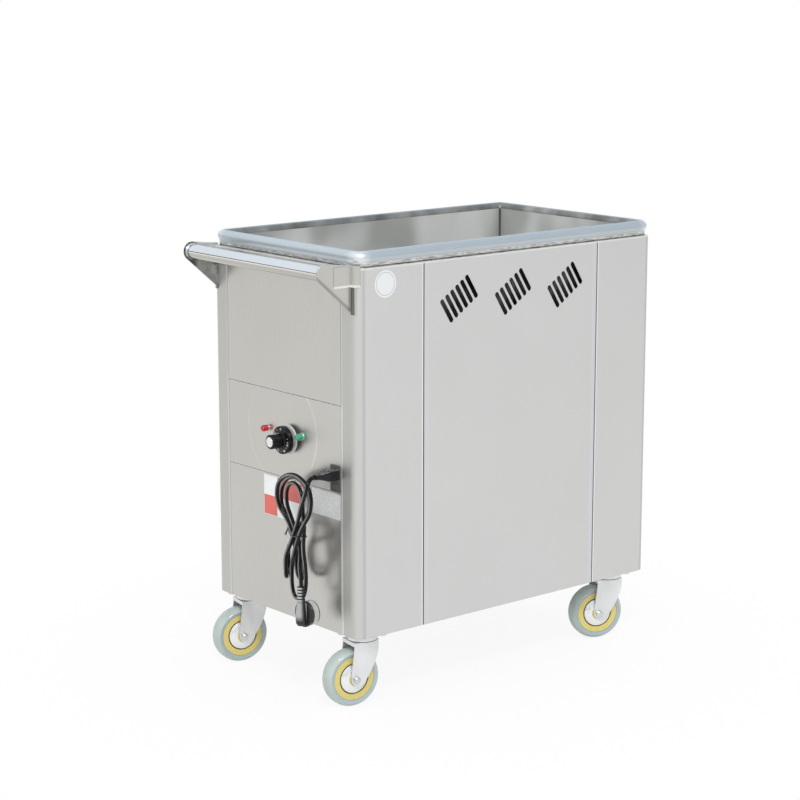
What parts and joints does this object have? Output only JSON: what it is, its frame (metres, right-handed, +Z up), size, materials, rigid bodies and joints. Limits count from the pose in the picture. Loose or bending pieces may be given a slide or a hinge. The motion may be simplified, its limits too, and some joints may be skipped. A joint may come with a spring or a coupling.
{
  "type": "dim sum cart",
  "caption": "Heated steel dim sum cart: box body on swivel casters, open water well under a rolled rim, push handle, thermostat with lamps, coiled power cord.",
  "frame": {"origin": "on the floor, at the middle of the overall length and width", "axes": "+Z up, X along the cart's length with the push handle at the -X end, +Y to the left of a person who pushes it"},
  "size_m": [0.783, 0.42, 0.807],
  "materials": {
    "panel_steel": "satin sheet with a faint vertical grain",
    "rim_steel": "satin rolled sheet",
    "well_steel": "bright satin sheet",
    "tray_steel": "satin perforated sheet",
    "handle_steel": "polished tube",
    "zinc_steel": "zinc plated pressing",
    "bolt_steel": "zinc plated",
    "heater_steel": "annealed tube",
    "valve_brass": "satin",
    "lever_steel": "zinc plated",
    "knob_black": "moulded",
    "knob_silver": "polished",
    "dial_white": "smooth",
    "lamp_red": "translucent lens",
    "lamp_green": "translucent lens",
    "lamp_bezel": "polished ring",
    "inlet_black": "moulded",
    "cord_black": "glossy jacket",
    "plug_black": "moulded",
    "plug_clear": "clear moulded cover",
    "plug_brass": "nickel plated",
    "control_grey": "moulded case",
    "wire_white": "silicone sleeve",
    "tyre_grey": "moulded rubber",
    "core_yellow": "moulded",
    "guard_silver": "pressed disc"
  },
  "bodies": {
    "cabinet": {"corner_panel_handle_left": "panel_steel", "corner_panel_handle_right": "panel_steel", "corner_panel_far_left": "panel_steel", "corner_panel_far_right": "panel_steel", "side_panel_left": "panel_steel", "side_panel_right": "panel_steel", "end_panel_upper": "panel_steel", "control_panel": "panel_steel", "end_panel_lower": "panel_steel", "far_end_panel": "panel_steel", "base_pan": "panel_steel", "water_tank": "well_steel", "top_rim": "rim_steel", "rack_supports": "well_steel", "heater_element": "heater_steel", "thermostat": "control_grey", "dial_plate": "dial_white", "red_lamp": "lamp_red", "green_lamp": "lamp_green", "lamp_housings": "lamp_bezel", "power_inlet": "inlet_black", "wiring": "wire_white", "handle_tube": "handle_steel", "handle_brackets": "panel_steel", "drain_pipe": "well_steel", "drain_valve": "valve_brass", "caster_plates": "zinc_steel", "caster_bolts": "bolt_steel", "power_connector": "inlet_black", "power_cord_lead": "cord_black", "power_cord_hank": "cord_black", "power_cord_tail": "cord_black", "cord_tie": "cord_black", "plug_body": "plug_black", "plug_pins": "plug_brass", "plug_cover": "plug_clear"},
    "steam_plate": {"steam_plate": "tray_steel"},
    "thermostat_knob": {"thermostat_knob": "knob_black", "knob_cap": "knob_silver"},
    "drain_lever": {"drain_valve_lever": "lever_steel"},
    "fork_handle_left": {"caster_fork_handle_left": "zinc_steel", "caster_axle_handle_left": "bolt_steel"},
    "wheel_handle_left": {"caster_tyre_handle_left": "tyre_grey", "caster_core_handle_left": "core_yellow", "caster_guards_handle_left": "guard_silver"},
    "fork_handle_right": {"caster_fork_handle_right": "zinc_steel", "caster_axle_handle_right": "bolt_steel"},
    "wheel_handle_right": {"caster_tyre_handle_right": "tyre_grey", "caster_core_handle_right": "core_yellow", "caster_guards_handle_right": "guard_silver"},
    "fork_far_left": {"caster_fork_far_left": "zinc_steel", "caster_axle_far_left": "bolt_steel"},
    "wheel_far_left": {"caster_tyre_far_left": "tyre_grey", "caster_core_far_left": "core_yellow", "caster_guards_far_left": "guard_silver"},
    "fork_far_right": {"caster_fork_far_right": "zinc_steel", "caster_axle_far_right": "bolt_steel"},
    "wheel_far_right": {"caster_tyre_far_right": "tyre_grey", "caster_core_far_right": "core_yellow", "caster_guards_far_right": "guard_silver"}
  },
  "joints": [
    {"name": "steam_plate_lift", "type": "slide", "parent": "cabinet", "child": "steam_plate", "axis": [0, 0, 1], "range_m": [0, 0.2]},
    {"name": "thermostat_turn", "type": "hinge", "parent": "cabinet", "child": "thermostat_knob", "pos_m": [-0.3385, -0.013, 0.4566], "axis": [1, 0, 0], "range_deg": [0, 300]},
    {"name": "drain_lever_turn", "type": "hinge", "parent": "cabinet", "child": "drain_lever", "pos_m": [0.2365, -0.02, 0.111], "axis": [0, 1, 0], "range_deg": [0, 90]},
    {"name": "swivel_handle_left", "type": "hinge", "parent": "cabinet", "child": "fork_handle_left", "pos_m": [-0.2745, 0.164, 0.12], "axis": [0, 0, 1], "continuous": true},
    {"name": "wheel_spin_handle_left", "type": "hinge", "parent": "fork_handle_left", "child": "wheel_handle_left", "pos_m": [-0.29789, 0.1694, 0.052], "axis": [-0.225, -0.9744, 0], "continuous": true},
    {"name": "swivel_handle_right", "type": "hinge", "parent": "cabinet", "child": "fork_handle_right", "pos_m": [-0.2745, -0.164, 0.12], "axis": [0, 0, 1], "continuous": true},
    {"name": "wheel_spin_handle_right", "type": "hinge", "parent": "fork_handle_right", "child": "wheel_handle_right", "pos_m": [-0.29813, -0.15983, 0.052], "axis": [-0.1736, -0.9848, 0], "continuous": true},
    {"name": "swivel_far_left", "type": "hinge", "parent": "cabinet", "child": "fork_far_left", "pos_m": [0.3335, 0.164, 0.12], "axis": [0, 0, 1], "continuous": true},
    {"name": "wheel_spin_far_left", "type": "hinge", "parent": "fork_far_left", "child": "wheel_far_left", "pos_m": [0.31055, 0.17102, 0.052], "axis": [-0.2924, -0.9563, 0], "continuous": true},
    {"name": "swivel_far_right", "type": "hinge", "parent": "cabinet", "child": "fork_far_right", "pos_m": [0.3335, -0.164, 0.12], "axis": [0, 0, 1], "continuous": true},
    {"name": "wheel_spin_far_right", "type": "hinge", "parent": "fork_far_right", "child": "wheel_far_right", "pos_m": [0.31157, -0.15424, 0.052], "axis": [-0.4067, -0.9135, 0], "continuous": true}
  ]
}
